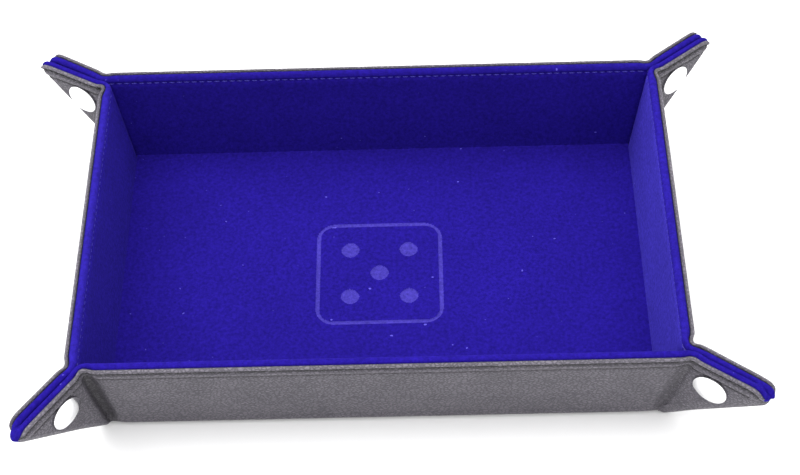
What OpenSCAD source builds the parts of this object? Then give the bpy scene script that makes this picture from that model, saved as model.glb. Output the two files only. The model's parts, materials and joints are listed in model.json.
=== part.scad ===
// Folding dice tray: one soft sheet with stiff boards inside, folded up along
// four lines and held by a snap at each corner. Millimetres, +Z up, origin at
// the middle of the underside. Each leather and lining layer is split at the
// fold lines, so that every panel and every ear half can turn.

/* [Tray] */
// Length of the floor, between the fold lines of the two short walls
floor_length = 195; // [140:5:300]
// Width of the floor, between the fold lines of the two long walls
floor_width = 122; // [90:2:200]
// Height of a wall along its slope, from fold line to rim
wall_height = 38.5; // [36:0.5:50]
// Outward lean of a standing wall, in degrees from upright
wall_lean = 8; // [3:1:14]
// Radius of the sheet's outer corners
corner_radius = 9; // [5:1:12]

/* [Ears] */
// Turn of the front left ear from its corner's diagonal towards the long wall's line
ear_turn_front_left = -7; // [-8:1:13]
// Turn of the front right ear
ear_turn_front_right = 12; // [-8:1:13]
// Turn of the back left ear
ear_turn_back_left = 13; // [-8:1:13]
// Turn of the back right ear
ear_turn_back_right = 5; // [-8:1:13]

/* [Layers] */
// Thickness of the outer leather
leather_t = 1; // [0.8:0.1:1.2]
// Thickness of the stiffening boards
board_t = 1.6; // [1:0.1:2]
// Thickness of a stiffened panel, from leather to velvet
panel_t = 4; // [3.6:0.1:5]
// Thickness of a soft ear half, from leather to velvet
ear_t = 3.4; // [3.4:0.1:3.6]
// Margin between a board and the edge of its panel
board_margin = 4; // [3.6:0.2:8]

/* [Seam] */
// Distance from the sheet's edge to the seam
seam_inset = 2.4; // [1.6:0.1:2.6]
// Width of the seam's thread
thread_w = 0.6; // [0.4:0.1:0.8]

/* [Snaps] */
// Diameter of a snap's domed cap
cap_d = 12.5; // [11.5:0.5:12.5]
// Height of the domed cap
cap_h = 2.2; // [1.6:0.1:3]
// Distance of a snap's centre from the floor's corner, along the ear
snap_along = 19.2; // [18.8:0.1:20.8]
// Height of a snap's centre
snap_height = 29.7; // [28:0.1:29.8]

/* [Hidden] */
$fn = 64;
// Half of the gap left at a fold line, and at the faces of a closed ear
fold_gap = 0.1;
face_gap = 0.15;
// What the diagonal edges stand back, so that the halves pass in mid-fold
diagonal_gap = 0.55;
// Start of an ear half above the fold line, clear of the floor's corner
ear_start = 1.5;
// How a thread sits: depth of its groove, and what stands out of it
groove_depth = 0.4;
thread_proud = 0.1;

// Snap hardware, along the ear's thickness from the leather's outer face
rim_h = 0.6;
post_r = 1.1;
post_clear = 0.1;
flange_t = 0.7;
flare_r = 1.7;
flare_t = 0.4;
socket_r = 5.2;
socket_boss_r = 4;
socket_cavity_r = 2.8;
socket_mouth_r = 2.35;
mouth_t = 0.5;
stud_r = 4.6;
stud_hat_r = 2.6;
stud_neck_r = 1.8;
stud_bulb_r = 2.1;
stud_bore_r = 1.3;
stud_top = 4.8;
bulb_h = 1;
bulb_bevel = 0.3;
stud_tip_t = 0.4;
hardware_clear = 0.2;

// The fold: how far a wall turns, and where a standing crease starts
wall_fold = 90 - wall_lean;
crease_out = panel_t * cos(wall_lean);
crease_z = panel_t * (1 - sin(wall_lean));
hat_h = flare_t + hardware_clear;
flange_top = leather_t + flange_t;

// Walls in turn round the tray, each with the names of its +x and -x ends
WALLS = ["front", "right", "back", "left"];
ENDS = [["left", "right"], ["front", "back"], ["right", "left"], ["back", "front"]];
SIDES = [1, -1];
TURNS = [
    [ear_turn_front_left, ear_turn_front_right],
    [ear_turn_front_right, ear_turn_back_right],
    [ear_turn_back_right, ear_turn_back_left],
    [ear_turn_back_left, ear_turn_front_left]
];
// An ear half is its wall and its end of that wall
EARS = [for (i = [0:3]) for (k = [0:1]) [i, k]];

function on_long_wall(ear) = ear[0] % 2 == 0;
function half_length(i) = (i % 2 == 0 ? floor_length : floor_width) / 2;
function fold_distance(i) = (i % 2 == 0 ? floor_width : floor_length) / 2;

// Angle between an ear half and the line of its wall, seen from above; the two
// halves of a corner make up a right angle
function ear_angle(ear) = 45 + (on_long_wall(ear) ? -1 : 1) * TURNS[ear[0]][ear[1]];

// The crease between a wall and its ear half is where their outer faces meet.
// It leans outwards by its slope, and the ear half turns about it
function crease_slope(a) = sin(wall_lean) / tan(a);
function crease_start(a) = crease_out / tan(a) - (ear_t + face_gap) / sin(a);
function crease_at(a, v) = crease_start(a) + v * crease_slope(a);
function ear_fold(a) = acos(cos(wall_lean) * cos(a));

// Rise of a crease in the ear's own upright plane, and the fold line below it
// that uses up the sheet's corner between the two creases
function crease_rise(a) = atan(sin(a) / tan(wall_lean));
function used_angle(a) = crease_rise(a) + atan(crease_slope(a));
function fold_rise(a) = (used_angle(a) + used_angle(90 - a) - 90) / 2;
function fold_angle(a) = used_angle(a) - fold_rise(a);

// A point of the standing ear, from along and height to its place in the sheet
function in_sheet(a, along, height) =
    let (
        rise = crease_rise(a),
        dx = along - crease_start(a) * cos(a) - crease_out * sin(a),
        dz = height - crease_z,
        up = dx * cos(rise) + dz * sin(rise),
        off = dx * sin(rise) - dz * cos(rise),
        tilt = atan(crease_slope(a))
    )
    [
        crease_start(a) + up * sin(tilt) + off * cos(tilt),
        up * cos(tilt) - off * sin(tilt)
    ];

function ear_name(ear) = str(WALLS[ear[0]], "_", ENDS[ear[0]][ear[1]]);
// Sockets are on the long walls' ear halves, studs on the short walls'
function has_socket(ear) = on_long_wall(ear);
function hardware_name(ear) = str(has_socket(ear) ? "snap_socket_" : "snap_stud_", ear_name(ear));

// ---- Places -------------------------------------------------------------

// From the flat sheet to a standing wall: x runs along the fold line, y away
// from the floor, and z up from the leather's outer face
module on_wall(i) {
    rotate([0, 0, 90 * i + 180])
        translate([0, fold_distance(i), panel_t])
            rotate([wall_fold, 0, 0])
                translate([0, 0, -panel_t])
                    children();
}

module at_end(side) {
    if (side > 0) children();
    else mirror([1, 0, 0]) children();
}

// From the flat sheet to a folded ear half, with x measured from the end of
// the wall's fold line
module on_ear(ear) {
    a = ear_angle(ear);
    tilt = atan(crease_slope(a));
    on_wall(ear[0])
        at_end(SIDES[ear[1]])
            translate([half_length(ear[0]) + crease_start(a), 0, 0])
                rotate([0, 0, -tilt])
                    rotate([0, ear_fold(a), 0])
                        rotate([0, 0, tilt])
                            translate([-crease_start(a), 0, 0])
                                children();
}

module at_snap(ear) {
    translate(in_sheet(ear_angle(ear), snap_along, snap_height)) children();
}

// ---- Outlines in the flat sheet -----------------------------------------

module floor_outline(inset) {
    square([floor_length - 2 * inset, floor_width - 2 * inset], center = true);
}

module wall_outline(i, inset) {
    low = fold_gap + inset;
    high = wall_height - inset;
    function end_x(k, v) =
        half_length(i) + crease_at(ear_angle([i, k]), v) - fold_gap - inset;
    polygon([
        [-end_x(1, low), low],
        [end_x(0, low), low],
        [end_x(0, high), high],
        [-end_x(1, high), high]
    ]);
}

// The sheet's rounded corner, drawn in from its edge by an inset
module sheet_corner(inset) {
    edge = wall_height - inset;
    flat = wall_height - corner_radius;
    translate([-wall_height, 0]) square([wall_height + flat, edge]);
    translate([-wall_height, 0]) square([wall_height + edge, flat]);
    translate([flat, flat]) circle(corner_radius - inset);
}

module ear_outline(ear) {
    a = ear_angle(ear);
    fold = fold_angle(a);
    far = 2 * wall_height;
    stand_back = [-cos(fold), sin(fold)] * diagonal_gap;
    intersection() {
        sheet_corner(0);
        translate([0, ear_start]) square(far);
        polygon([
            [crease_at(a, 0) + fold_gap, 0],
            [crease_at(a, far) + fold_gap, far],
            far * [sin(fold), cos(fold)] + stand_back,
            stand_back
        ]);
    }
}

module wall_seam(i) {
    intersection() {
        wall_outline(i, 0);
        translate([-floor_length, wall_height - seam_inset - thread_w])
            square([2 * floor_length, thread_w]);
    }
}

module ear_seam(ear) {
    intersection() {
        ear_outline(ear);
        difference() {
            sheet_corner(seam_inset);
            sheet_corner(seam_inset + thread_w);
        }
    }
}

// ---- Soft layers and boards ---------------------------------------------

module leather_base() {
    color("#35353a")
        linear_extrude(leather_t) floor_outline(fold_gap);
}

module lining_base() {
    color("#2418a8")
        difference() {
            translate([0, 0, leather_t])
                linear_extrude(panel_t - leather_t) floor_outline(fold_gap);
            translate([0, 0, leather_t])
                linear_extrude(board_t) floor_outline(board_margin);
        }
}

module board_base() {
    color("#b39a6b")
        translate([0, 0, leather_t])
            linear_extrude(board_t) floor_outline(board_margin);
}

module leather_wall(i) {
    color("#35353a")
        on_wall(i)
            difference() {
                linear_extrude(leather_t) wall_outline(i, 0);
                translate([0, 0, -groove_depth])
                    linear_extrude(2 * groove_depth) wall_seam(i);
            }
}

module lining_wall(i) {
    color("#2418a8")
        on_wall(i)
            translate([0, 0, leather_t])
                difference() {
                    linear_extrude(panel_t - leather_t) wall_outline(i, 0);
                    translate([0, 0, -board_t])
                        linear_extrude(2 * board_t) wall_outline(i, board_margin);
                }
}

module board_wall(i) {
    color("#b39a6b")
        on_wall(i)
            translate([0, 0, leather_t])
                linear_extrude(board_t) wall_outline(i, board_margin);
}

module thread_wall(i) {
    color("#141416")
        on_wall(i)
            translate([0, 0, -thread_proud])
                linear_extrude(groove_depth + thread_proud) wall_seam(i);
}

module leather_ear(ear) {
    color("#35353a")
        on_ear(ear)
            difference() {
                linear_extrude(leather_t) ear_outline(ear);
                translate([0, 0, -groove_depth])
                    linear_extrude(2 * groove_depth) ear_seam(ear);
                at_snap(ear)
                    translate([0, 0, -leather_t])
                        cylinder(h = 3 * leather_t, r = post_r + post_clear);
            }
}

module lining_ear(ear) {
    hole_r = (has_socket(ear) ? socket_r : stud_r) + hardware_clear;
    color("#2418a8")
        on_ear(ear)
            difference() {
                translate([0, 0, leather_t])
                    linear_extrude(ear_t - leather_t) ear_outline(ear);
                at_snap(ear) cylinder(h = 2 * ear_t, r = hole_r);
            }
}

module thread_ear(ear) {
    color("#141416")
        on_ear(ear)
            translate([0, 0, -thread_proud])
                linear_extrude(groove_depth + thread_proud) ear_seam(ear);
}

// ---- Snap hardware ------------------------------------------------------

// Domed cap on the leather, with the post that is flared over the hardware
module snap_cap(ear) {
    dome_h = cap_h - rim_h;
    dome_r = (pow(cap_d / 2, 2) + pow(dome_h, 2)) / (2 * dome_h);
    color("#d3d6db")
        on_ear(ear)
            at_snap(ear) {
                rotate_extrude()
                    intersection() {
                        translate([0, dome_r - cap_h]) circle(dome_r, $fn = 128);
                        translate([0, -cap_h]) square([cap_d / 2, cap_h]);
                    }
                cylinder(h = flange_top, r = post_r);
                translate([0, 0, flange_top]) cylinder(h = flare_t, r = flare_r);
            }
}

// Ring with a narrow mouth that takes the stud's bulb
module snap_socket(ear) {
    color("#c4c8ce")
        on_ear(ear)
            at_snap(ear)
                rotate_extrude()
                    polygon([
                        [post_r + post_clear, leather_t],
                        [socket_r, leather_t],
                        [socket_r, flange_top],
                        [socket_boss_r, flange_top],
                        [socket_boss_r, ear_t],
                        [socket_mouth_r, ear_t],
                        [socket_mouth_r, ear_t - mouth_t],
                        [socket_cavity_r, ear_t - mouth_t],
                        [socket_cavity_r, flange_top],
                        [post_r + post_clear, flange_top]
                    ]);
}

// Flanged stud, hollow over the cap's flared post, with a bulb at its tip
module snap_stud(ear) {
    hat_top = flange_top + hat_h;
    wall = stud_hat_r - flare_r - hardware_clear;
    bulb_low = stud_top - bulb_h;
    color("#c4c8ce")
        on_ear(ear)
            at_snap(ear)
                rotate_extrude()
                    polygon([
                        [post_r + post_clear, leather_t],
                        [stud_r, leather_t],
                        [stud_r, flange_top],
                        [stud_hat_r, flange_top],
                        [stud_hat_r, hat_top],
                        [stud_neck_r, hat_top + wall],
                        [stud_neck_r, bulb_low],
                        [stud_bulb_r, bulb_low + bulb_bevel],
                        [stud_bulb_r, stud_top - stud_tip_t],
                        [stud_neck_r, stud_top],
                        [0, stud_top],
                        [0, stud_top - stud_tip_t],
                        [stud_bore_r, stud_top - stud_tip_t],
                        [stud_bore_r, hat_top],
                        [stud_hat_r - wall, hat_top],
                        [stud_hat_r - wall, flange_top],
                        [post_r + post_clear, flange_top]
                    ]);
}

// ---- Nodes --------------------------------------------------------------

leather_base();
lining_base();
board_base();

for (i = [0:3]) {
    leather_wall(i);
    lining_wall(i);
    board_wall(i);
    thread_wall(i);
}

for (ear = EARS) {
    leather_ear(ear);
    lining_ear(ear);
    thread_ear(ear);
    snap_cap(ear);
    union() {
        if (has_socket(ear)) snap_socket(ear);
        else snap_stud(ear);
    }
}
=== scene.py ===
import json
import math

import bpy
import numpy as np
from mathutils import Matrix, Vector


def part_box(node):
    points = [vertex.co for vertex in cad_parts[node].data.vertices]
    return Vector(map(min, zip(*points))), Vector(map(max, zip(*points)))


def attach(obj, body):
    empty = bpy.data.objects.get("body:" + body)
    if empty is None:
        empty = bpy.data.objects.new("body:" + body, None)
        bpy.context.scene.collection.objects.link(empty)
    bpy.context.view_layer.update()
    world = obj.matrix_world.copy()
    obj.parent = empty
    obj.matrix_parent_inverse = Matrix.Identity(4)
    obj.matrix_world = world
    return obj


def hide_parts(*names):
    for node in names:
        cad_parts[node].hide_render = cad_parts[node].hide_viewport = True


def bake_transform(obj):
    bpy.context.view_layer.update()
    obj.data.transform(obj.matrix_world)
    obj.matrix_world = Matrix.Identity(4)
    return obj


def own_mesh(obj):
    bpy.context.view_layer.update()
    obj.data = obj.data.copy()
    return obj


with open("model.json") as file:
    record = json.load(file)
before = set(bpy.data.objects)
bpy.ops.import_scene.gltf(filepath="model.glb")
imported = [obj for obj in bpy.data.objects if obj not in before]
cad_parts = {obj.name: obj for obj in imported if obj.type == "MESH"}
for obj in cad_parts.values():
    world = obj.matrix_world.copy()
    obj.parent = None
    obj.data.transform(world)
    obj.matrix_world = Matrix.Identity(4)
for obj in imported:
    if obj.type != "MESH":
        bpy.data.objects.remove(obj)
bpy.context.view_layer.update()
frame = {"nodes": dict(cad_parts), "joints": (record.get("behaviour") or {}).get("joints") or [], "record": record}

MM = 0.001

# ---- Sizes from the frame ------------------------------------------------

JOINTS = {j["name"]: j for j in frame["joints"]}
RATIOS = {c["joint"]: c["ratio"] for c in frame["record"]["behaviour"]["couplings"]}
FOLD = math.radians(JOINTS["wall_front_fold"]["range_deg"][1])
LEAN = math.pi / 2 - FOLD
PANEL = JOINTS["wall_front_fold"]["pos_m"][2]
HALF_X = JOINTS["wall_right_fold"]["pos_m"][0]
HALF_Y = -JOINTS["wall_front_fold"]["pos_m"][1]
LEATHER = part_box("leather_base")[1][2]
RIM_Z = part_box("leather_front")[1][2]
HEIGHT = (RIM_Z - PANEL + (PANEL - LEATHER) * math.sin(LEAN)) / math.cos(LEAN)
EAR = 3.4 * MM
FACE_GAP = 0.15 * MM
EAR_TOP = EAR + 0.12 * MM
CORNER_R = 9 * MM
SNAP_ALONG = 19.2 * MM
SNAP_UP = 29.7 * MM

WALLS = ["front", "right", "back", "left"]
ENDS = [["left", "right"], ["front", "back"], ["right", "left"], ["back", "front"]]

# Fold strips: flat half width beside an ear's crease, and beside a floor fold
EAR_BEND = 3.6 * MM
FLOOR_BEND = 3.0 * MM

# Leather drawn into the valley beside an ear, and the fold at which it is as deep as this
VALLEY = 2.1 * MM
SHARP_FOLD = math.radians(52)

# ---- Small helpers -------------------------------------------------------


def turn(axis, angle):
    """3 x 3 matrices that turn by each angle about one axis."""
    x, y, z = axis
    k = np.array([[0, -z, y], [z, 0, -x], [-y, x, 0]], float)
    a = np.atleast_1d(angle)[:, None, None]
    return np.eye(3) + np.sin(a) * k + (1 - np.cos(a)) * (k @ k)


def smooth(t):
    t = np.clip(t, 0, 1)
    return t * t * (3 - 2 * t)


def ripple(x, y, scale, seed):
    """Soft random waves of about that wavelength, from -1 to 1."""
    rng = np.random.default_rng(seed)
    total = np.zeros(np.broadcast(x, y).shape)
    waves = 7
    for _ in range(waves):
        way = rng.uniform(0, 2 * math.pi)
        pitch = scale * rng.uniform(0.6, 1.7)
        phase = rng.uniform(0, 2 * math.pi)
        total += np.sin(2 * math.pi * (x * math.cos(way) + y * math.sin(way)) / pitch + phase)
    return total / waves


def add_mesh(name, points, faces, tone=1.0, sharp=50):
    """A smooth mesh. tone is each point's lightness, which its material reads; it holds the nap's lightness
    together with painted light and shade.
    """
    mesh = bpy.data.meshes.new(name)
    mesh.from_pydata([tuple(p) for p in points], [], faces)
    shade = mesh.attributes.new("tone", "FLOAT", "POINT")
    shade.data.foreach_set("value", np.broadcast_to(tone, len(points)).astype(np.float32))
    mesh.validate()
    mesh.polygons.foreach_set("use_smooth", [True] * len(mesh.polygons))
    mesh.set_sharp_from_angle(angle=math.radians(sharp))
    mesh.update()
    obj = bpy.data.objects.new(name, mesh)
    bpy.context.scene.collection.objects.link(obj)
    return obj


def loop_faces(rows, cols):
    """Faces of a grid whose rows close into a loop, with both ends capped."""
    faces = []
    for i in range(rows):
        below = (i + 1) % rows
        for j in range(cols - 1):
            faces.append((i * cols + j, i * cols + j + 1, below * cols + j + 1, below * cols + j))
    for i in range(rows // 2 - 1):
        a, b, c, d = i, i + 1, rows - 2 - i, rows - 1 - i
        faces.append((a * cols, b * cols, c * cols, d * cols))
        last = cols - 1
        faces.append((d * cols + last, c * cols + last, b * cols + last, a * cols + last))
    return faces


# ---- The flat sheet and its folds ----------------------------------------


class Wall:
    def __init__(self, index):
        self.name = WALLS[index]
        self.body = "wall_" + self.name
        self.half = HALF_X if index % 2 == 0 else HALF_Y
        self.reach = HALF_Y if index % 2 == 0 else HALF_X
        self.spin = turn((0, 0, 1), math.radians(90 * index + 180))[0]
        self.tilt = turn((1, 0, 0), FOLD)[0]

    def stand(self, p):
        """From the flat wall, x along the fold and y up the slope, to the row frame."""
        q = (np.asarray(p, float) - [0, 0, PANEL]) @ self.tilt.T + [0, self.reach, PANEL]
        return q @ self.spin.T


class Ear:
    """One end of a wall with its ear half. Its x is measured from the wall's middle."""

    def __init__(self, wall, index, side):
        self.wall = wall
        self.end = ENDS[index][side]
        self.name = wall.name + "_" + self.end
        self.body = "ear_" + self.name
        self.corner = self.name if index % 2 == 0 else self.end + "_" + wall.name
        self.mirror = np.array([1.0 if side == 0 else -1.0, 1.0, 1.0])
        self.long_wall = index % 2 == 0
        self.fold = FOLD * RATIOS[self.body + "_fold"]
        self.angle = math.acos(math.cos(self.fold) / math.cos(LEAN))
        out = PANEL * math.cos(LEAN)
        self.start = self._start(self.angle)
        self.slope = self._slope(self.angle)
        self.tilt = math.atan(self.slope)
        mate = math.pi / 2 - self.angle
        rise = (self._used(self.angle) + self._used(mate) - math.pi / 2) / 2
        self.diagonal = self._used(self.angle) - rise
        self.origin = np.array([wall.half + self.start, 0, 0])
        self.crease = np.array([math.sin(self.tilt), math.cos(self.tilt), 0])
        across = np.array([math.cos(self.tilt), -math.sin(self.tilt), 0])
        self.middle = turn(self.crease, self.fold / 2)[0] @ across
        self.tip_way = np.array([math.sin(self.diagonal), math.cos(self.diagonal)])
        self.snap = self._snap(out)

    def _start(self, a):
        return PANEL * math.cos(LEAN) / math.tan(a) - (EAR + FACE_GAP) / math.sin(a)

    def _slope(self, a):
        return math.sin(LEAN) / math.tan(a)

    def _used(self, a):
        return math.atan(math.sin(a) / math.tan(LEAN)) + math.atan(self._slope(a))

    def _snap(self, out):
        rise = math.atan(math.sin(self.angle) / math.tan(LEAN))
        dx = SNAP_ALONG - self.start * math.cos(self.angle) - out * math.sin(self.angle)
        dz = SNAP_UP - PANEL * (1 - math.sin(LEAN))
        up = dx * math.cos(rise) + dz * math.sin(rise)
        off = dx * math.sin(rise) - dz * math.cos(rise)
        return np.array([self.start + up * math.sin(self.tilt) + off * math.cos(self.tilt),
                         up * math.cos(self.tilt) - off * math.sin(self.tilt)])

    def crease_x(self, v):
        return self.start + v * self.slope

    def folded(self, p, reach):
        q = np.asarray(p, float) - self.origin
        low = np.zeros(len(q))
        high = np.ones(len(q))
        for _ in range(26):
            w = (low + high) / 2
            at = np.einsum("nij,nj->ni", turn(self.crease, w * self.fold), q) @ self.middle
            over = smooth((at + reach) / (2 * reach)) > w
            low = np.where(over, w, low)
            high = np.where(over, high, w)
        return np.einsum("nij,nj->ni", turn(self.crease, low * self.fold), q) + self.origin

    def place(self, p, reach):
        return self.wall.stand(self.folded(p, reach) * self.mirror)

    def bend(self, obj, reach):
        start = self.wall.stand((self.origin - self.middle * reach) * self.mirror)
        end = self.wall.stand((self.origin + self.middle * reach) * self.mirror)
        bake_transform(obj)

    def pinched(self, x, v):
        """How strongly the leather is drawn in along the crease beside the snapped ear."""
        across = x - self.wall.half - self.crease_x(v)
        wall_side = smooth(1 + across / (5.5 * MM)) ** 1.5
        ear_side = smooth(1 - across / (2.2 * MM))
        rim = 0.3 + 0.7 * smooth((HEIGHT - v) / (8 * MM))
        return (self.fold / SHARP_FOLD) ** 2 * np.where(across < 0, wall_side, ear_side) * rim

    def valley(self, x, v):
        """Depth of that valley, which fades just above the floor's fold."""
        return VALLEY * self.pinched(x, v) * smooth((v + 1 * MM) / (4 * MM))

    def rigid(self, p):
        """Row frame places of points that ride on the ear half alone."""
        q = (np.asarray(p, float) - self.origin) @ turn(self.crease, self.fold)[0].T
        return self.wall.stand((q + self.origin) * self.mirror)

    def reach(self, thickness):
        return EAR_BEND * math.cos(self.fold / 2) + thickness * math.sin(self.fold / 2)


WALL = [Wall(i) for i in range(4)]
EARS = [Ear(WALL[i], i, k) for i in range(4) for k in range(2)]

# ---- Columns and rows of a wall end --------------------------------------

STEP = 0.75 * MM
NEAR = 7 * MM
BULGE = 2.9 * MM
EDGE_ROWS = 8 * MM

# Share by which a skin's depth shrinks where the sheet turns over at the diagonal
THIN = 0.85

# The hem ends this far below the sheet's edge
HEM_END = 7 * MM

# How far the leather is rounded off at each ear's tip, and how much less the velvet is
TIP_DIP = {"front_left": 3.2 * MM, "front_right": 2.8 * MM,
           "back_left": 3.4 * MM, "back_right": 3.6 * MM}
TIP_ROUND = 9 * MM
VELVET_PROUD = 0.8 * MM

# Distance from the diagonal over which the hem's ridges and grooves flatten out
TIP_CALM = 5 * MM

CREASE_STEPS = 15
DIAGONAL_STEPS = 10


class Columns:
    """Where a wall end's columns are: share of the wall, then of its ear half."""

    def __init__(self, ear):
        far = ear.wall.half + ear.start - NEAR
        plain = np.linspace(0, far, int(far / STEP) + 1)
        near = np.linspace(far, far + NEAR, CREASE_STEPS)[1:]
        self.wall = np.concatenate([plain, near]) / (ear.wall.half + ear.start)
        self.crease = np.linspace(0, 1, CREASE_STEPS)[1:]
        self.middle = np.linspace(0, 1, int(0.02 / STEP))[1:]
        self.bulge = np.linspace(0, math.radians(87), DIAGONAL_STEPS)[1:]
        self.count = len(self.wall) + len(self.crease) + len(self.middle) + len(self.bulge)


def edge_path(ear, depth):
    """Row of the ear half at a depth below the sheet's edge, from crease to diagonal."""
    v = HEIGHT - depth
    r = max(CORNER_R - depth, 1.2 * MM)
    arc = np.linspace(math.pi / 2, 0, 60)
    line = np.linspace(ear.crease_x(v), v - r, 60)[:-1]
    x = np.concatenate([line, v - r + r * np.cos(arc), [v]])
    y = np.concatenate([np.full(len(line), v), v - r + r * np.sin(arc), [0]])
    side = x * ear.tip_way[1] - y * ear.tip_way[0]
    k = int(np.argmax(side > 0))
    t = side[k - 1] / (side[k - 1] - side[k])
    last = [x[k - 1] + t * (x[k] - x[k - 1]), y[k - 1] + t * (y[k] - y[k - 1])]
    pts = np.concatenate([np.stack([x[:k], y[:k]], 1), [last]])
    way = pts[-1] - pts[-2]
    way = way / np.linalg.norm(way)
    lean = abs(way[0] * ear.tip_way[1] - way[1] * ear.tip_way[0])
    return pts, 1 / max(lean, 0.5)


def along(pts, at):
    """Points of a polyline at these distances along it."""
    gaps = np.linalg.norm(np.diff(pts, axis=0), axis=1)
    s = np.concatenate([[0], np.cumsum(gaps)])
    return np.stack([np.interp(at, s, pts[:, 0]), np.interp(at, s, pts[:, 1])], -1), s[-1]


def ear_row(ear, cols, depth, down, skin):
    """Flat x and y of one row's ear columns. skin is its depth under the leather's face."""
    pts, slant = edge_path(ear, min(depth, EDGE_ROWS))
    if down > 0:
        top_v = HEIGHT - EDGE_ROWS
        v = top_v * (1 - down)
        dist = np.linalg.norm(pts[-1]) * (1 - down)
        straight = np.array([[ear.crease_x(v), v], ear.tip_way * dist])
        keep = float(smooth(1 - down / 0.3))
        far = np.linspace(0, 1, 80)
        a = along(pts, far * along(pts, 0)[1])[0] * [1 - down, 1 - down]
        a[:, 0] += ear.start * down * (1 - far)
        b = straight[0] + far[:, None] * (straight[1] - straight[0])
        pts = keep * a + (1 - keep) * b
    total = along(pts, 0)[1]
    bend = min(NEAR, 0.42 * total)
    room = min(BULGE * slant, 0.42 * total)
    lean = np.sin(cols.bulge)
    under = skin * (1 - THIN * lean ** 2) / BULGE
    q = 1 - (1 - under) * lean
    at = np.concatenate([bend * cols.crease,
                         bend + (total - room - bend) * cols.middle,
                         total - room * q])
    return along(pts, at)[0]


def cols_bulge(cols):
    lean = np.zeros(cols.count)
    lean[-len(cols.bulge):] = cols.bulge
    return lean


def flat_rows(ear, cols, rows, floor_gap, dip):
    """Flat places of a loop of rows.

    A row is (depth below the edge, share of the way down, skin, height). Height runs from 0,
    at skin under the leather's face, to 1, on top of the sheet."""
    grid = np.zeros((len(rows), cols.count, 3))
    n = len(cols.wall)
    share = cols.wall
    lift = floor_gap * (1 - smooth((share * ear.wall.half - (ear.wall.half - 6 * MM)) / (5 * MM)))
    cosine = np.ones(cols.count)
    cosine[-len(cols.bulge):] = np.cos(cols.bulge)
    thick = PANEL + (EAR_TOP - PANEL) * smooth((np.arange(cols.count) - n + 6) / CREASE_STEPS)
    for i, (depth, down, skin, height) in enumerate(rows):
        top_v = HEIGHT - depth
        v = top_v + (lift - top_v) * down if down > 0 else np.full(n, top_v)
        grid[i, :n, 0] = share * (ear.wall.half + ear.crease_x(v))
        grid[i, :n, 1] = v
        xy = ear_row(ear, cols, depth, down, skin)
        off = xy[:, 1] * ear.tip_way[0] - xy[:, 0] * ear.tip_way[1]
        low = dip * max(0.0, 1 - depth / HEM_END) * np.clip(1 - off / TIP_ROUND, 0, 1) ** 2
        xy = xy - low[:, None] * ear.tip_way
        grid[i, n:, 0] = ear.wall.half + xy[:, 0]
        grid[i, n:, 1] = xy[:, 1]
        face = np.full(cols.count, skin)
        if skin < 0.9 * LEATHER:
            face[n:] *= smooth(off / TIP_CALM)
        under = thick - (thick - face * (1 - THIN * (1 - cosine ** 2))) * cosine
        grid[i, :, 2] = under + height * (thick - under)
    return grid


DOWN = list(np.linspace(0, 1, 17)[1:])

# Leather: depth below the edge, and how far its face lies in from the plain face
HEM = np.array([
    [0.5, -0.3], [0.7, -0.42], [0.92, -0.3], [1.1, 0.1], [1.3, 0.45], [1.6, 0.6], [1.95, 0.6],
    [2.25, 0.45], [2.5, 0.1], [2.8, -0.3], [3.3, -0.45], [4.1, -0.45], [4.6, -0.3], [4.95, 0.1],
    [5.25, 0.42], [5.6, 0.42], [5.9, 0.2], [6.3, 0.0]]) * MM
VELVET_EDGE = np.array([
    [1.5, 0.12], [1.9, 0.08], [2.3, -0.2], [2.7, -0.42], [3.1, -0.24], [3.6, 0.0], [4.4, 0.1],
    [5.6, 0.08]]) * MM


def panel_rows(skin, height):
    """The rows below the hem, down to the floor's fold."""
    return [(EDGE_ROWS, t, skin, height) for t in [0.0] + DOWN]


def leather_rows():
    face = [(d, 0.0, s, 0.0) for d, s in HEM] + panel_rows(0.0, 0.0)
    back = [(d, 0.0, LEATHER, 0.0) for d in HEM[:, 0]] + panel_rows(LEATHER, 0.0)
    low, high = HEM[0, 1], LEATHER
    bead = []
    for a in np.radians(np.linspace(-90, 90, 11))[1:-1]:
        skin = (low + high) / 2 + (high - low) / 2 * math.sin(a)
        bead.append((HEM[0, 0] * (1 - math.cos(a)), 0.0, skin, 0.0))
    return face[::-1] + bead + back


def velvet_rows():
    edge = VELVET_EDGE[:, 0]
    back = [(d, 0.0, LEATHER, 0.0) for d in edge] + panel_rows(LEATHER, 0.0)
    face = [(d, 0.0, LEATHER, 1.0) for d in edge] + panel_rows(LEATHER, 1.0)
    roll = []
    for a in np.radians(np.linspace(-90, 90, 13))[1:-1]:
        roll.append((edge[0] * (1 - math.cos(a)), 0.0, LEATHER, (1 + math.sin(a)) / 2))
    return back[::-1] + roll + face


# ---- Materials -----------------------------------------------------------


def new_material(name):
    material = bpy.data.materials.new(name)
    material.use_nodes = True
    tree = material.node_tree
    shader = tree.nodes["Principled BSDF"]
    coord = tree.nodes.new("ShaderNodeTexCoord")
    return material, tree, shader, coord


def noise(tree, coord, scale, detail=3.0, rough=0.5):
    node = tree.nodes.new("ShaderNodeTexNoise")
    node.inputs["Scale"].default_value = scale
    node.inputs["Detail"].default_value = detail
    node.inputs["Roughness"].default_value = rough
    tree.links.new(coord.outputs["Object"], node.inputs["Vector"])
    return node


def ramp(tree, source, stops):
    node = tree.nodes.new("ShaderNodeValToRGB")
    while len(node.color_ramp.elements) < len(stops):
        node.color_ramp.elements.new(0.5)
    for element, (at, colour) in zip(node.color_ramp.elements, stops):
        element.position = at
        element.color = (*colour, 1)
    tree.links.new(source, node.inputs["Fac"])
    return node


def bump(tree, height, strength, distance, before=None):
    node = tree.nodes.new("ShaderNodeBump")
    node.inputs["Strength"].default_value = strength
    node.inputs["Distance"].default_value = distance
    tree.links.new(height, node.inputs["Height"])
    if before:
        tree.links.new(before.outputs["Normal"], node.inputs["Normal"])
    return node


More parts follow.
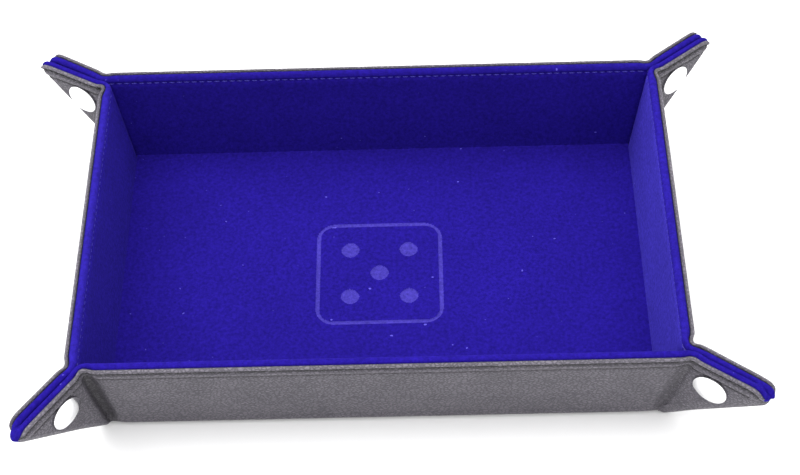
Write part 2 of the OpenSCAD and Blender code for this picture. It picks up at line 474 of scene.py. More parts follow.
def mix(tree, kind, fac, a, b):
    node = tree.nodes.new("ShaderNodeMix")
    node.data_type = "RGBA"
    node.blend_type = kind
    if isinstance(fac, float):
        node.inputs["Factor"].default_value = fac
    else:
        tree.links.new(fac, node.inputs["Factor"])
    for socket, value in (("A", a), ("B", b)):
        target = [s for s in node.inputs if s.name == socket and s.type == "RGBA"][0]
        if isinstance(value, tuple):
            target.default_value = (*value, 1)
        else:
            tree.links.new(value, target)
    return [s for s in node.outputs if s.type == "RGBA"][0]


def tone_of(tree):
    node = tree.nodes.new("ShaderNodeAttribute")
    node.attribute_type = "GEOMETRY"
    node.attribute_name = "tone"
    return node.outputs["Fac"]


def scaled(tree, source, factor):
    node = tree.nodes.new("ShaderNodeMath")
    node.operation = "MULTIPLY"
    node.inputs[1].default_value = factor
    tree.links.new(source, node.inputs[0])
    return node.outputs["Value"]


def velvet_material(name, stops):
    """Short pile: stops give the colour by the tone, from 0 to 2, which holds the nap's lightness and painted
    light and shade; the upper stops paint a lighter, paler sheen.
    """
    material, tree, shader, coord = new_material(name)
    base = ramp(tree, scaled(tree, tone_of(tree), 0.5), stops)
    nap = noise(tree, coord, 34, 5, 0.6)
    brushed = ramp(tree, nap.outputs["Fac"], [(0.3, (0.92, 0.92, 0.92)), (0.7, (1.08, 1.08, 1.08))])
    colour = mix(tree, "MULTIPLY", 1.0, base.outputs["Color"], brushed.outputs["Color"])
    tuft = noise(tree, coord, 800, 3, 0.7)
    grain = ramp(tree, tuft.outputs["Fac"], [(0.32, (0.68, 0.68, 0.72)), (0.68, (1.32, 1.32, 1.28))])
    colour = mix(tree, "MULTIPLY", 1.0, colour, grain.outputs["Color"])
    lint = noise(tree, coord, 640, 0, 0.5)
    speck = ramp(tree, lint.outputs["Fac"], [(0.875, (0, 0, 0)), (0.9, (0.5, 0.5, 0.5))])
    fibre = tuple(min(1.0, 1.6 * c + 0.05) for c in stops[-1][1])
    colour = mix(tree, "MIX", speck.outputs["Color"], colour, fibre)
    tree.links.new(colour, shader.inputs["Base Color"])
    shader.inputs["Roughness"].default_value = 0.95
    shader.inputs["Specular IOR Level"].default_value = 0.05
    shader.inputs["Sheen Weight"].default_value = 0.04
    shader.inputs["Sheen Roughness"].default_value = 0.4
    shader.inputs["Sheen Tint"].default_value = (0.3, 0.24, 1.0, 1)
    pile = noise(tree, coord, 1700, 2, 0.6)
    first = bump(tree, tuft.outputs["Fac"], 0.4, 0.0003)
    second = bump(tree, pile.outputs["Fac"], 0.4, 0.00015, first)
    tree.links.new(second.outputs["Normal"], shader.inputs["Normal"])
    return material


def leather_material(name, dark, light):
    """Pebbled grain: rounded cells with dark lines between them."""
    material, tree, shader, coord = new_material(name)
    warp = noise(tree, coord, 420, 2, 0.5)
    bent = tree.nodes.new("ShaderNodeVectorMath")
    bent.operation = "MULTIPLY_ADD"
    bent.inputs[1].default_value = (0.0012, 0.0012, 0.0012)
    tree.links.new(warp.outputs["Color"], bent.inputs[0])
    tree.links.new(coord.outputs["Object"], bent.inputs[2])
    wide = tree.nodes.new("ShaderNodeVectorMath")
    wide.operation = "MULTIPLY"
    wide.inputs[1].default_value = (0.8, 0.8, 1.35)
    tree.links.new(bent.outputs["Vector"], wide.inputs[0])
    cells = tree.nodes.new("ShaderNodeTexVoronoi")
    cells.feature = "DISTANCE_TO_EDGE"
    cells.inputs["Scale"].default_value = 830
    tree.links.new(wide.outputs["Vector"], cells.inputs["Vector"])
    dome = tree.nodes.new("ShaderNodeMapRange")
    dome.interpolation_type = "SMOOTHSTEP"
    dome.inputs["From Max"].default_value = 0.34
    tree.links.new(cells.outputs["Distance"], dome.inputs["Value"])
    pebble = dome.outputs["Result"]
    fine = noise(tree, coord, 2600, 2, 0.6)
    broad = noise(tree, coord, 60, 4, 0.55)
    base = ramp(tree, pebble, [(0.05, dark), (0.8, light)])
    shade = ramp(tree, broad.outputs["Fac"], [(0.3, (0.85, 0.85, 0.87)), (0.7, (1.12, 1.12, 1.12))])
    colour = mix(tree, "MULTIPLY", 1.0, base.outputs["Color"], shade.outputs["Color"])
    # Painted light and shade from each point's tone: highlights on the hem's bead and ridge, shade in its grooves
    # and beside the ears
    painted_light = ramp(tree, scaled(tree, tone_of(tree), 0.5), [(0.0, (0, 0, 0)), (1.0, (2, 2, 2))])
    colour = mix(tree, "MULTIPLY", 1.0, colour, painted_light.outputs["Color"])
    tree.links.new(colour, shader.inputs["Base Color"])
    rough = tree.nodes.new("ShaderNodeMapRange")
    rough.inputs["To Min"].default_value = 0.66
    rough.inputs["To Max"].default_value = 0.44
    tree.links.new(pebble, rough.inputs["Value"])
    tree.links.new(rough.outputs["Result"], shader.inputs["Roughness"])
    shader.inputs["Specular IOR Level"].default_value = 0.45
    first = bump(tree, pebble, 0.6, 0.0003)
    second = bump(tree, fine.outputs["Fac"], 0.25, 0.0001, first)
    tree.links.new(second.outputs["Normal"], shader.inputs["Normal"])
    return material


def thread_material(name, dark, light, gloss):
    material, tree, shader, coord = new_material(name)
    twist = tree.nodes.new("ShaderNodeTexWave")
    twist.wave_type = "BANDS"
    twist.bands_direction = "DIAGONAL"
    twist.inputs["Scale"].default_value = 620
    twist.inputs["Distortion"].default_value = 1.5
    tree.links.new(coord.outputs["Object"], twist.inputs["Vector"])
    base = ramp(tree, twist.outputs["Fac"], [(0.2, dark), (0.8, light)])
    tree.links.new(base.outputs["Color"], shader.inputs["Base Color"])
    shader.inputs["Roughness"].default_value = gloss
    first = bump(tree, twist.outputs["Fac"], 0.6, 0.0001)
    tree.links.new(first.outputs["Normal"], shader.inputs["Normal"])
    return material


def metal_material(name, colour, rough_low, rough_high):
    material, tree, shader, coord = new_material(name)
    smudge = noise(tree, coord, 300, 4, 0.6)
    scratch = noise(tree, coord, 3000, 2, 0.6)
    rough = tree.nodes.new("ShaderNodeMapRange")
    rough.inputs["To Min"].default_value = rough_low
    rough.inputs["To Max"].default_value = rough_high
    tree.links.new(smudge.outputs["Fac"], rough.inputs["Value"])
    tree.links.new(rough.outputs["Result"], shader.inputs["Roughness"])
    tint = ramp(tree, smudge.outputs["Fac"], [(0.3, tuple(0.93 * c for c in colour)), (0.7, colour)])
    tree.links.new(tint.outputs["Color"], shader.inputs["Base Color"])
    shader.inputs["Metallic"].default_value = 1.0
    first = bump(tree, scratch.outputs["Fac"], 0.04, 0.00005)
    tree.links.new(first.outputs["Normal"], shader.inputs["Normal"])
    return material


# The velvet's own blue is the middle stop; the lower stops paint shade and the upper stops paint a sheen
VELVET_SHADE_AND_SHEEN_STOPS = [
    (0.0, (0.002, 0.001, 0.02)), (0.25, (0.006, 0.003, 0.085)), (0.5, (0.013, 0.006, 0.2)),
    (0.75, (0.036, 0.025, 0.33)), (1.0, (0.07, 0.054, 0.45))]
PRESSED_STOPS = [(0.0, (0.025, 0.017, 0.17)), (0.5, (0.044, 0.032, 0.29)), (1.0, (0.09, 0.07, 0.45))]
VELVET = velvet_material("velvet_royal_blue", VELVET_SHADE_AND_SHEEN_STOPS)
EMBLEM = velvet_material("velvet_pressed", PRESSED_STOPS)
LEATHER_SKIN = leather_material("leather_pebbled_black", (0.05, 0.046, 0.057), (0.096, 0.087, 0.108))
BLACK_THREAD = thread_material("thread_black", (0.008, 0.008, 0.01), (0.035, 0.034, 0.04), 0.6)
BLUE_THREAD = thread_material("thread_blue", (0.025, 0.016, 0.24), (0.065, 0.05, 0.46), 0.7)
CHROME = metal_material("metal_bright_nickel", (0.86, 0.86, 0.87), 0.08, 0.16)
STEEL = metal_material("metal_dull_nickel", (0.7, 0.7, 0.71), 0.2, 0.34)


def paint(obj, material):
    obj.data.materials.clear()
    obj.data.materials.append(material)


# ---- Wall ends with their ear halves -------------------------------------

STITCH_PITCH = 2.9 * MM
STITCH_LENGTH = 2.5 * MM
OUTER_SEAM = 1.8 * MM
OUTER_RADIUS = 0.48 * MM
OUTER_SKEW = 0.16
INNER_SEAM = 2.7 * MM
INNER_RADIUS = 0.3 * MM

# Flange radius of each snap half, and the velvet's gap round it
SOCKET_R = 5.2 * MM
STUD_R = 4.6 * MM
HOLE_GAP = 0.25 * MM

# Where the stitches pull the leather in, and by how much
GROOVE = (1.0 * MM, 2.6 * MM)
STITCH_PULL = 0.12 * MM

# Heights of the soft waves, and of the wrinkles beside a crease
LEATHER_WAVE = 0.1 * MM
VELVET_WAVE = 0.12 * MM
WRINKLE = 0.42 * MM

# The leather hugs the snap's cap within this radius
CAP_HUG = 6.9 * MM
CAP_HUG_DEEP = 0.28 * MM

# Lightness of the velvet on each wall, on the floor, on the rolled rim and in the ears: partly the nap's direction
# and partly painted light and shade for how each face is lit
WALL_NAP_AND_LIGHT = {"front": 0.9, "right": 1.5, "back": 0.87, "left": 1.06}
FLOOR_NAP_AND_LIGHT = 0.9
RIM_NAP_AND_LIGHT = {"front": 1.0, "right": 1.05, "back": 0.86, "left": 1.1}
EAR_NAP_AND_LIGHT = 0.97

# Leather: painted shade in the hem's grooves, painted highlight on its bead and ridge by depth in mm, and painted
# shade in the valley beside an ear. TUCK draws a fold strip's ends in.
GROOVE_SHADE = 0.84
RIDGE_HIGHLIGHT = np.array([[0, 1.45], [0.9, 1.45], [1.2, 1.0], [2.4, 1.0],
                   [2.9, 1.18], [4.6, 1.18], [5.2, 1.0]])
VALLEY_SHADE = 0.6
TUCK = 0.16 * MM


def seam_path(ear, depth):
    """Flat points along a seam, from the wall's middle to the ear's diagonal."""
    pts, _ = edge_path(ear, depth)
    pts = pts + [ear.wall.half, 0]
    start = np.array([[0, HEIGHT - depth]])
    return np.concatenate([start, pts])


def stitches(name, ear, depth, height, radius, reach, wobble, offset, sink):
    """One row of stitches: short fat threads that dip into the seam at both ends."""
    path = seam_path(ear, depth)
    total = along(path, 0)[1]
    count = int((total - 1.5 * MM) / STITCH_PITCH)
    sides, rings = 8, 9
    points, faces = [], []
    rng = np.random.default_rng(7)
    for k in range(count):
        at = (k + 0.5) * STITCH_PITCH
        centre = along(path, [at])[0][0]
        ahead = along(path, [at + 0.3 * MM])[0][0]
        way = (ahead - centre) / np.linalg.norm(ahead - centre)
        side = np.array([-way[1], way[0]])
        skew = wobble + rng.uniform(-0.04, 0.04)
        base = len(points)
        past = max(0.0, centre[0] - ear.wall.half - ear.crease_x(centre[1]))
        level = height + offset * float(smooth(past / NEAR))
        if sink:
            level = level + float(ear.valley(centre[0], centre[1]))
        for r in range(rings):
            t = -1 + 2 * r / (rings - 1)
            fat = radius * math.sqrt(max(0.0, 1 - t ** 6)) * (0.9 if abs(t) < 1 else 0.35)
            fat = max(fat, 0.3 * radius)
            mid = centre + way * t * STITCH_LENGTH / 2 + side * skew * t * STITCH_LENGTH / 2
            dip = level[0] + (level[1] - level[0]) * t * t
            for s in range(sides):
                a = 2 * math.pi * s / sides
                xy = mid + side * fat * math.cos(a)
                points.append([xy[0], xy[1], dip + fat * math.sin(a)])
        for r in range(rings - 1):
            for s in range(sides):
                n = (s + 1) % sides
                a, b = base + r * sides, base + (r + 1) * sides
                faces.append((a + s, a + n, b + n, b + s))
        faces.append(tuple(base + s for s in range(sides))[::-1])
        faces.append(tuple(base + (rings - 1) * sides + s for s in range(sides)))
    return add_mesh(name, ear.place(np.array(points), reach), faces)


def build_end(ear):
    cols = Columns(ear)
    n = len(cols.wall)
    on_ear = smooth((np.arange(cols.count) - n + 8) / CREASE_STEPS)
    signed = ear.mirror[0]

    # Velvet with its foam
    rows = velvet_rows()
    grid = flat_rows(ear, cols, rows, 0.0, TIP_DIP[ear.corner] - VELVET_PROUD)
    puff = np.interp([r[0] for r in rows], VELVET_EDGE[:, 0], VELVET_EDGE[:, 1])
    seed = WALLS.index(ear.wall.name)
    # The velvet's lightness per face: partly the nap, partly painted light and shade for how each wall, rim and
    # ear is lit
    tone = np.full(grid.shape[:2], WALL_NAP_AND_LIGHT[ear.wall.name])
    for i, (depth, down, skin, height) in enumerate(rows):
        roll_share = 1 - float(smooth((depth - 1.2 * MM) / (1.6 * MM)))
        tone[i] += (RIM_NAP_AND_LIGHT[ear.wall.name] * (1 - on_ear) + EAR_NAP_AND_LIGHT * on_ear - tone[i]) * roll_share
        tone[i] += (EAR_NAP_AND_LIGHT - tone[i]) * on_ear * (1 - roll_share)
        if height < 1:
            grid[i, :, 2] += (1 - height) * ear.valley(grid[i, :, 0], grid[i, :, 1])
            continue
        mask = smooth(4 * down) * smooth(4 * (1 - down)) if down > 0 else 0
        wave = ripple(signed * grid[i, :, 0], grid[i, :, 1], 34 * MM, seed)
        calm = 1 - on_ear
        grid[i, :, 2] += puff[i] * np.where(puff[i] > 0, calm, 1) if down == 0 else 0
        grid[i, :, 2] += VELVET_WAVE * wave * mask * calm
    reach = ear.reach(PANEL)
    flat = grid.reshape(-1, 3)
    velvet = cut_hole(ear, "velvet_" + ear.name, flat, loop_faces(len(rows), cols.count), tone.ravel())
    fold_mesh(velvet, ear, reach)
    paint(velvet, VELVET)
    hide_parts("lining_" + ear.wall.name, "lining_ear_" + ear.name,
                "board_" + ear.wall.name)
    ear.bend(velvet, reach)

    # Outer leather with its turned hem
    rows = leather_rows()
    grid = flat_rows(ear, cols, rows, FLOOR_BEND, TIP_DIP[ear.corner])
    half_rows = len(rows) // 2
    groove = np.interp([r[0] for r in rows], HEM[:, 0], np.maximum(HEM[:, 1], 0))
    ridge_highlight = np.interp([r[0] for r in rows], RIDGE_HIGHLIGHT[:, 0] * MM, RIDGE_HIGHLIGHT[:, 1])
    tone = np.ones(grid.shape[:2])
    for i, (depth, down, skin, height) in enumerate(rows):
        drawn = ear.valley(grid[i, :, 0], grid[i, :, 1])
        if skin > 0.9 * LEATHER or i > half_rows:
            grid[i, :, 2] += drawn
            continue
        x = signed * grid[i, :, 0]
        y = grid[i, :, 1]
        mask = smooth(4 * (1 - down)) if depth > HEM_END else 0
        grid[i, :, 2] += LEATHER_WAVE * ripple(x, y, 26 * MM, 20 + seed) * mask * (1 - on_ear)
        if GROOVE[0] < depth < GROOVE[1]:
            beat = np.cos(2 * math.pi * np.abs(grid[i, :, 0]) / STITCH_PITCH) ** 2
            grid[i, :, 2] += STITCH_PULL * beat * np.cos(cols_bulge(cols))
        near = np.hypot(grid[i, :, 0] - ear.wall.half - ear.snap[0], grid[i, :, 1] - ear.snap[1])
        grid[i, :, 2] += CAP_HUG_DEEP * np.exp(-((near / CAP_HUG) ** 8))
        ridge = grid[i, :, 0] - ear.wall.half - ear.crease_x(grid[i, :, 1])
        shrink = np.exp(-(((ridge + 1.5 * MM) / (3.2 * MM)) ** 2)) * smooth(y / (8 * MM))
        below_hem = smooth((depth + down * HEIGHT) / HEM_END)
        wrinkle = ripple(ridge * 0.6, y, 3.6 * MM, 40 + seed) * below_hem
        grid[i, :, 2] += drawn + WRINKLE * wrinkle * shrink
        # Painted highlight on the hem's bead and ridge, painted shade in its grooves and in the valley beside the
        # ear
        tone[i] *= ridge_highlight[i] * (1 - GROOVE_SHADE * float(smooth(groove[i] / (0.4 * MM))))
        tone[i] *= 1 - VALLEY_SHADE * np.clip(ear.pinched(grid[i, :, 0], grid[i, :, 1]), 0, 1)
    reach = ear.reach(0.0)
    flat = grid.reshape(-1, 3)
    leather = add_mesh("leather_" + ear.name, flat, loop_faces(len(rows), cols.count), tone.ravel())
    fold_mesh(leather, ear, reach)
    paint(leather, LEATHER_SKIN)
    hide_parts("leather_" + ear.wall.name, "leather_ear_" + ear.name)
    ear.bend(leather, reach)

    outer = stitches("stitches_" + ear.name, ear, OUTER_SEAM, np.array([0.0, 0.5]) * MM,
                     OUTER_RADIUS, reach, OUTER_SKEW, 0.0, True)
    paint(outer, BLACK_THREAD)
    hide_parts("thread_" + ear.wall.name, "thread_ear_" + ear.name)
    ear.bend(outer, reach)
    inner = stitches("stitches_inner_" + ear.name, ear, INNER_SEAM,
                     PANEL + np.array([-0.28, -0.75]) * MM, INNER_RADIUS, ear.reach(PANEL), 0.0,
                     EAR_TOP - PANEL, False)
    paint(inner, BLUE_THREAD)
    ear.bend(inner, ear.reach(PANEL))


def cut_hole(ear, name, flat, faces, tone):
    """The velvet in its flat place, with a hole round the snap's socket or stud."""
    obj = add_mesh(name, flat, faces, tone)
    radius = (SOCKET_R if ear.long_wall else STUD_R) + HOLE_GAP
    bpy.ops.mesh.primitive_cylinder_add(
        vertices=72, radius=radius, depth=3 * PANEL,
        location=(ear.wall.half + ear.snap[0], ear.snap[1], PANEL / 2))
    cutter = bpy.context.object
    tool = obj.modifiers.new("hole", "BOOLEAN")
    tool.operation = "DIFFERENCE"
    tool.object = cutter
    tool.solver = "EXACT"
    graph = bpy.context.evaluated_depsgraph_get()
    cut = bpy.data.meshes.new_from_object(obj.evaluated_get(graph))
    obj.modifiers.clear()
    obj.data = cut
    bpy.data.objects.remove(cutter)
    return obj


def fold_mesh(obj, ear, reach):
    """Turns a flat mesh into its rest shape."""
    mesh = obj.data
    co = np.zeros(len(mesh.vertices) * 3)
    mesh.vertices.foreach_get("co", co)
    rest = ear.place(co.reshape(-1, 3), reach)
    mesh.vertices.foreach_set("co", rest.ravel())
    if ear.mirror[0] < 0:
        mesh.flip_normals()
    mesh.set_sharp_from_angle(angle=math.radians(50))
    mesh.update()


for ear in EARS:
    build_end(ear)

# ---- Floor ---------------------------------------------------------------

EMBLEM_AT = (-1.1 * MM, -1.1 * MM)
EMBLEM_HALF = 23 * MM
EMBLEM_ROUND = 6 * MM
EMBLEM_LINE = 0.55 * MM
PIP_OFF = 11 * MM
PIP_R = 3.3 * MM
EMBLEM_DEEP = 0.28 * MM


def emblem_shape(x, y):
    """Distance to the five-pip die face, negative inside its lines and pips."""
    dx = np.abs(x - EMBLEM_AT[0])
    dy = np.abs(y - EMBLEM_AT[1])
    inner = EMBLEM_HALF - EMBLEM_ROUND
    box = np.hypot(np.maximum(dx - inner, 0), np.maximum(dy - inner, 0)) - EMBLEM_ROUND
    box = box + np.minimum(np.maximum(dx - inner, dy - inner), 0)
    shape = np.abs(box) - EMBLEM_LINE
    shape = np.minimum(shape, np.hypot(dx, dy) - PIP_R)
    return np.minimum(shape, np.hypot(dx - PIP_OFF, dy - PIP_OFF) - PIP_R)


def axis_steps(half, centre):
    fine = EMBLEM_HALF + 2 * MM
    left = np.linspace(-half, centre - fine, int((half + centre - fine) / (2 * MM)))
    core = np.linspace(centre - fine, centre + fine, int(2 * fine / (0.3 * MM)))
    right = np.linspace(centre + fine, half, int((half - centre - fine) / (2 * MM)))
    return np.concatenate([left, core[1:-1], right])


def edge_ring(rows, cols):
    """The points round the edge of a grid, in order."""
    ring = list(range(cols))
    ring += [i * cols + cols - 1 for i in range(1, rows)]
    ring += [(rows - 1) * cols + j for j in range(cols - 2, -1, -1)]
    return ring + [i * cols for i in range(rows - 2, 0, -1)]


def build_floor():
    xs = axis_steps(HALF_X, EMBLEM_AT[0])
    ys = axis_steps(HALF_Y, EMBLEM_AT[1])
    x, y = np.meshgrid(xs, ys)
    edge = np.minimum(HALF_X - np.abs(x), HALF_Y - np.abs(y))
    shape = emblem_shape(x, y)
    z = np.full(x.shape, PANEL)
    z += 0.12 * MM * ripple(x, y, 45 * MM, 5) * smooth(edge / (12 * MM))
    z -= EMBLEM_DEEP * smooth(0.5 - shape / (0.5 * MM))
    rows, cols = x.shape
    top = np.stack([x, y, z], -1).reshape(-1, 3)
    ring = edge_ring(rows, cols)
    low = top[ring].copy()
    low[:, 2] = LEATHER
    points = np.concatenate([top, low])
    faces = []
    marks = []
    pressed = (shape < 0).astype(int)
    for i in range(rows - 1):
        for j in range(cols - 1):
            a = i * cols + j
            faces.append((a, a + 1, a + cols + 1, a + cols))
            inside = pressed[i, j] + pressed[i, j + 1] + pressed[i + 1, j] + pressed[i + 1, j + 1]
            marks.append(1 if inside > 1 else 0)
    base = len(top)
    count = len(ring)
    for k in range(count):
        n = (k + 1) % count
        faces.append((ring[n], ring[k], base + k, base + n))
        marks.append(0)
    faces.append(tuple(base + k for k in range(count))[::-1])
    marks.append(0)
    obj = add_mesh("velvet_floor", points, faces, FLOOR_NAP_AND_LIGHT)
    paint(obj, VELVET)
    obj.data.materials.append(EMBLEM)
    obj.data.polygons.foreach_set("material_index", marks)
    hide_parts("lining_base", "board_base")
    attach(obj, "base")


build_floor()


def plate_faces(n):
    """Faces of two n x n grids, one on the other, joined round their edges."""
    faces = []
    for i in range(n - 1):
        for j in range(n - 1):
            k = i * n + j
            faces.append((k, k + n, k + n + 1, k + 1))
            faces.append(tuple(n * n + m for m in (k, k + 1, k + n + 1, k + n)))
    ring = edge_ring(n, n)
    for k, first in enumerate(ring):
        m = ring[(k + 1) % len(ring)]
        faces.append((first, m, n * n + m, n * n + first))
    return faces


def build_underside():
    a, b = HALF_X - FLOOR_BEND, HALF_Y - FLOOR_BEND
    n = 40
    xs = np.linspace(-a, a, n)
    ys = np.linspace(-b, b, n)
    x, y = np.meshgrid(xs, ys)
    low = np.stack([x, y, np.zeros_like(x)], -1).reshape(-1, 3)
    high = low + [0, 0, LEATHER]
    obj = add_mesh("leather_floor", np.concatenate([low, high]), plate_faces(n))
    paint(obj, LEATHER_SKIN)
    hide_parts("leather_base")
    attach(obj, "base")


build_underside()


def build_fold(wall):
    """The leather strip that bends up from the floor into a wall."""
    reach = FLOOR_BEND * math.cos(FOLD / 2) + PANEL * math.sin(FOLD / 2)
    cols = 121
    steps = 22
    share = np.linspace(-1, 1, cols)
    share = share * (1.5 - 0.5 * share ** 2)
    ends = [e for e in EARS if e.wall is wall]
    weights = np.linspace(0, 1, steps)
    skins = [0.0] * steps + [LEATHER] * steps
    order = list(weights) + list(weights[::-1])
    points = []
    tone = []
    for w, skin in zip(order, skins):
        t = PANEL - skin
        sigma = 0.5 - math.sin(math.asin(1 - 2 * w) / 3)
        at = -reach + 2 * reach * sigma
        angle = w * FOLD - FOLD / 2
        u = (at - t * math.sin(angle)) / math.cos(angle)
        half = wall.half + min(u, 0.0)
        x = share * half
        near_end = smooth((np.abs(x) - (wall.half - 7 * MM)) / (4 * MM))
        tuck = TUCK * near_end * math.sin(math.pi * w)
        beside = [(e, x * e.mirror[0]) for e in ends]
        drawn = sum(e.valley(far, np.full(cols, u)) * (far > 0) for e, far in beside)
        shade = sum(e.pinched(far, np.full(cols, u)) * (far > 0) for e, far in beside)
        depth = -t + tuck + drawn
        a = w * FOLD
        y = u * math.cos(a) - depth * math.sin(a)
        z = u * math.sin(a) + depth * math.cos(a)
        p = np.stack([x, y + wall.reach, z + PANEL], 1)
        points.append(p @ wall.spin.T)
        tone.append(1 - VALLEY_SHADE * np.clip(shade, 0, 1) * float(smooth(2 * w)))
    obj = add_mesh("leather_fold_" + wall.name, np.concatenate(points), loop_faces(2 * steps, cols),
                   np.concatenate(tone))
    paint(obj, LEATHER_SKIN)
    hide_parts("leather_base", "leather_" + wall.name)
    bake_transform(obj)


for wall in WALL:
    build_fold(wall)


CORNER_INSET = 0.05 * MM
CORNER_HOLLOW = 0.7


def build_corner(name, sx, sy):
    """Rounded leather corner under the foot of an ear: an eighth of a ball."""
    radius = PANEL - CORNER_INSET
    steps = 10
    points = []
    for i in range(steps + 1):
        down = math.radians(28 + 62 * i / steps)
        for j in range(steps + 1):
            way = math.pi / 2 * j / steps
            flat_r = radius * math.cos(down)
            points.append([sx * (HALF_X + flat_r * math.cos(way)),
                           sy * (HALF_Y + flat_r * math.sin(way)),
                           PANEL - radius * math.sin(down)])
    points = np.array(points)
    centre = np.array([sx * HALF_X, sy * HALF_Y, PANEL])
    inner = centre + (points - centre) * CORNER_HOLLOW
    faces = plate_faces(steps + 1)
    if sx * sy < 0:
        faces = [f[::-1] for f in faces]
    obj = add_mesh(name, np.concatenate([points, inner]), faces)
    weld = obj.modifiers.new("weld", "WELD")
    weld.merge_threshold = 0.00001
    graph = bpy.context.evaluated_depsgraph_get()
    obj.data = bpy.data.meshes.new_from_object(obj.evaluated_get(graph))
    obj.modifiers.clear()
    paint(obj, LEATHER_SKIN)
    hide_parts("leather_base")
    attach(obj, "base")


for word_y, sy in (("front", -1), ("back", 1)):
    for word_x, sx in (("left", -1), ("right", 1)):
        build_corner("leather_corner_" + word_y + "_" + word_x, sx, sy)

# ---- The bulging fold under each ear, and its rounded tip -----------------

# How far each ear's fold bulges out, and how much more at its foot
KEEL_OUT = {"front_left": 1.3 * MM, "front_right": 3.1 * MM,
            "back_left": 2.2 * MM, "back_right": 2.2 * MM}
FOOT_OUT = 0.6 * MM

# The velvet's rounded end at the tip: half its length, its reach inward and its half width
NOSE_LONG = 2.9 * MM
NOSE_IN = 2.2 * MM
NOSE_WIDE = 2.5 * MM

# A depth this far below the ear's own middle, given to each roll; the roll works out a point there and does
# nothing more with it
ROLL_DROP = 1.2 * MM


def build_fold_roll(ear, name, stations, arc, squash_to, tone):
    """A closed roll along the ear's diagonal fold. A station is (along, in, out, half width)."""
    middle = EAR + FACE_GAP
    along_way = ear.tip_way
    inward = np.array([-along_way[1], along_way[0]])
    corner = np.array([ear.wall.half, 0])
    angles = np.radians(np.linspace(-arc, arc, 25))
    points = []
    for at, inner, outer, wide in stations:
        for a in angles:
            q = inner - (inner + outer) * math.cos(a)
            xy = corner + along_way * at + inward * q
            points.append([xy[0], xy[1], middle + wide * math.sin(a)])
    n = len(angles)
    count = len(stations)
    faces = []
    for i in range(count - 1):
        for j in range(n):
            k = (j + 1) % n
            faces.append((i * n + j, i * n + k, (i + 1) * n + k, (i + 1) * n + j))
    faces.append(tuple(range(n))[::-1])
    faces.append(tuple((count - 1) * n + j for j in range(n)))
    if ear.mirror[0] < 0:
        faces = [f[::-1] for f in faces]
    obj = add_mesh(name, ear.rigid(points), faces, tone)
    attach(obj, ear.body)
    foot, flat_side, top = ear.rigid([[*corner, middle], [*corner, middle - squash_to], [*corner, 0]])
    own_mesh(obj)
    return obj


def build_keel(ear):
    out = KEEL_OUT[ear.name]
    dip = TIP_DIP[ear.name]
    tip = np.linalg.norm(edge_path(ear, 0)[0][-1])
    plain = EAR + FACE_GAP - 0.06 * MM
    stations = []
    for t in np.linspace(0, 1, 44):
        at = -1.0 * MM + t * (tip - dip + 1.2 * MM)
        foot = 1 - smooth(at / (16 * MM))
        close = max(0.0, (at - (tip - dip - 4.5 * MM)) / (4.7 * MM))
        full = math.sqrt(max(0.0, 1 - min(1.0, close) ** 3))
        inner = min(3.2 * MM, 0.8 * MM + 0.32 * max(at, 0)) * (0.2 + 0.8 * full)
        outer = (out + FOOT_OUT * foot) * full
        wide = plain * (0.8 + 0.2 * float(smooth(at / (7 * MM)))) * (0.3 + 0.7 * full)
        stations.append((at, inner, outer + 0.05 * MM, wide))
    obj = build_fold_roll(ear, "leather_keel_" + ear.name, stations, 90, ROLL_DROP, 1.0)
    paint(obj, LEATHER_SKIN)
    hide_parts("leather_ear_" + ear.name)

    stations = []
    for t in np.linspace(-1, 1, 25):
        at = tip - (dip - VELVET_PROUD) + 0.35 * MM - NOSE_LONG + t * NOSE_LONG
        full = max(0.0, 1 - abs(t) ** 3.5) ** 0.4 + 0.02
        stations.append((at, NOSE_IN * full, (0.5 * MM + 0.35 * out) * full, NOSE_WIDE * full))
    obj = build_fold_roll(ear, "velvet_tip_" + ear.name, stations, 172, ROLL_DROP, EAR_NAP_AND_LIGHT)
    paint(obj, VELVET)
    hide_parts("lining_ear_" + ear.name)


for ear in EARS:
    if ear.long_wall:
        build_keel(ear)

# ---- Snaps ---------------------------------------------------------------

for name, obj in frame["nodes"].items():
    if name.startswith("snap_"):
        for holder in obj.material_slots:
            holder.material = CHROME if name.startswith("snap_cap") else STEEL

# ---- Camera, stage and light ---------------------------------------------

AZIMUTH = math.radians(1.379)
ELEVATION = math.radians(50.925)
ROLL = math.radians(-2.379)
DISTANCE = 675.3 * MM
TARGET = Vector((7.017 * MM, 2.652 * MM, 20 * MM))
LENS = 82.1
STAGE_SIZE = 8
STAGE_GAP = 0.25 * MM
WORLD_STRENGTH = 1.24

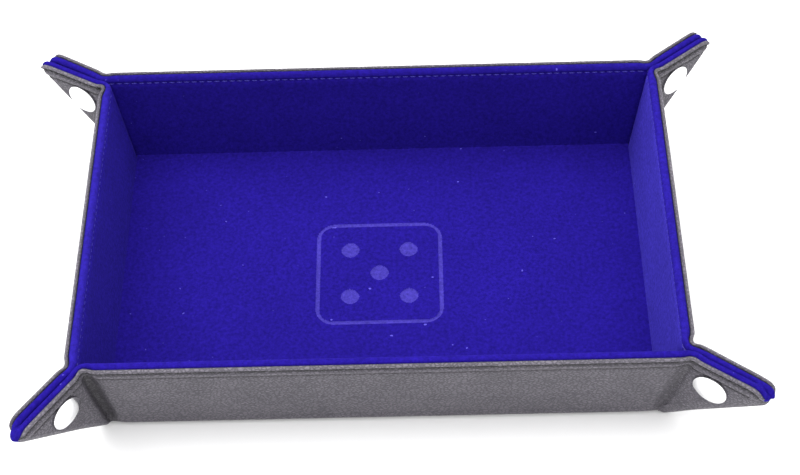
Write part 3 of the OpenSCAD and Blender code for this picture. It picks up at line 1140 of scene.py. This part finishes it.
back = Vector((math.sin(AZIMUTH) * math.cos(ELEVATION), -math.cos(AZIMUTH) * math.cos(ELEVATION),
               math.sin(ELEVATION)))
right = Vector((math.cos(AZIMUTH), math.sin(AZIMUTH), 0))
up = back.cross(right)
rolled_right = right * math.cos(ROLL) + up * math.sin(ROLL)
rolled_up = up * math.cos(ROLL) - right * math.sin(ROLL)
camera = bpy.data.objects.new("camera", bpy.data.cameras.new("camera"))
camera.data.lens = LENS
camera.data.sensor_width = 36
camera.data.clip_start = 0.01
axes = Matrix((rolled_right, rolled_up, back)).transposed()
camera.matrix_world = Matrix.Translation(TARGET + back * DISTANCE) @ axes.to_4x4()
bpy.context.scene.collection.objects.link(camera)
bpy.context.scene.camera = camera

bpy.ops.mesh.primitive_plane_add(size=STAGE_SIZE, location=(0, 0, -STAGE_GAP))
ground = bpy.context.object
ground.name = "stage_floor"
stage_material, tree, shader, coord = new_material("stage_white")
shader.inputs["Base Color"].default_value = (0.97, 0.97, 0.97, 1)
shader.inputs["Roughness"].default_value = 0.9
shader.inputs["Specular IOR Level"].default_value = 0.1
ground.data.materials.append(stage_material)


def area_light(name, size, power, place, aim=(0, 0, 0)):
    light = bpy.data.lights.new(name, "AREA")
    light.shape = "RECTANGLE"
    light.size, light.size_y = size
    light.energy = power
    obj = bpy.data.objects.new(name, light)
    obj.location = place
    way = Vector(aim) - Vector(place)
    obj.rotation_euler = way.to_track_quat("-Z", "Y").to_euler()
    bpy.context.scene.collection.objects.link(obj)
    return obj


# Name, size in metres, power in watts, place
area_light("light_key", (1.2, 1.0), 13, (-0.9, 0.45, 1.2))
area_light("light_top", (1.8, 1.8), 20, (0.1, 0.1, 1.6))
area_light("light_front", (1.6, 0.5), 2, (0.2, -1.5, 0.5))

world = bpy.data.worlds.new("world")
world.use_nodes = True
world.node_tree.nodes["Background"].inputs["Color"].default_value = (1, 1, 1, 1)
world.node_tree.nodes["Background"].inputs["Strength"].default_value = WORLD_STRENGTH
bpy.context.scene.world = world
bpy.context.scene.view_settings.view_transform = "Standard"
